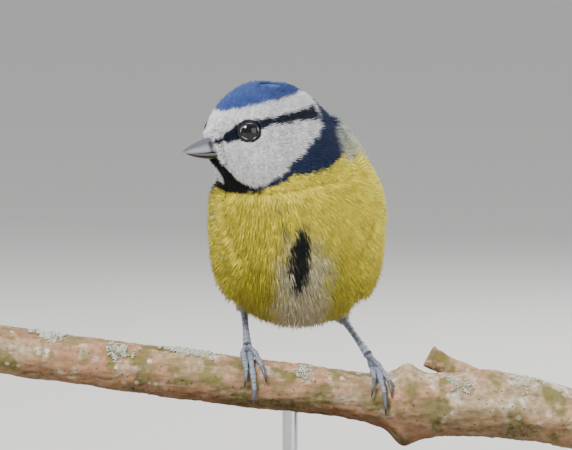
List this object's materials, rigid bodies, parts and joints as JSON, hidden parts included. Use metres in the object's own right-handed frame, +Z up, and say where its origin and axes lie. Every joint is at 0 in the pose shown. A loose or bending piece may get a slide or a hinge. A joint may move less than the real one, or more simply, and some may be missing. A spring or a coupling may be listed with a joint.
{
  "type": "model of a small songbird on a perch",
  "caption": "Life-size still model of a blue tit with its head turned to its right, gripping a cut length of lichened branch on a plain round display stand.",
  "frame": {"origin": "centre of the underside of the display stand's round base, on the surface it rests on", "axes": "+Z up; -Y towards the side that the breast faces; the branch runs along X and the bird's left side is on +X"},
  "size_m": [0.1351, 0.1192, 0.1038],
  "materials": {
    "head_feathers": "matte",
    "collar_feathers": "matte",
    "breast_feathers": "matte",
    "wing_feathers": "satin",
    "tail_feathers": "satin",
    "tibia_feathers": "matte",
    "bill_horn": "satin",
    "eye": "gloss",
    "leg_skin": "satin",
    "claw_horn": "satin",
    "bark": "rough",
    "base_wood": "satin",
    "rod_steel": "brushed"
  },
  "bodies": {
    "root": {"head": "head_feathers", "neck": "collar_feathers", "torso": "breast_feathers", "tail": "tail_feathers", "bill_upper": "bill_horn", "bill_lower": "bill_horn", "eye_left": "eye", "eye_right": "eye", "wing_left": "wing_feathers", "wing_right": "wing_feathers", "thigh_left": "tibia_feathers", "thigh_right": "tibia_feathers", "tarsus_left": "leg_skin", "tarsus_right": "leg_skin", "foot_left": "leg_skin", "foot_right": "leg_skin", "claw_left_1": "claw_horn", "claw_left_2": "claw_horn", "claw_left_3": "claw_horn", "claw_left_4": "claw_horn", "claw_right_1": "claw_horn", "claw_right_2": "claw_horn", "claw_right_3": "claw_horn", "claw_right_4": "claw_horn", "perch_branch": "bark", "stand_base": "base_wood", "stand_rod": "rod_steel"}
  },
  "joints": []
}
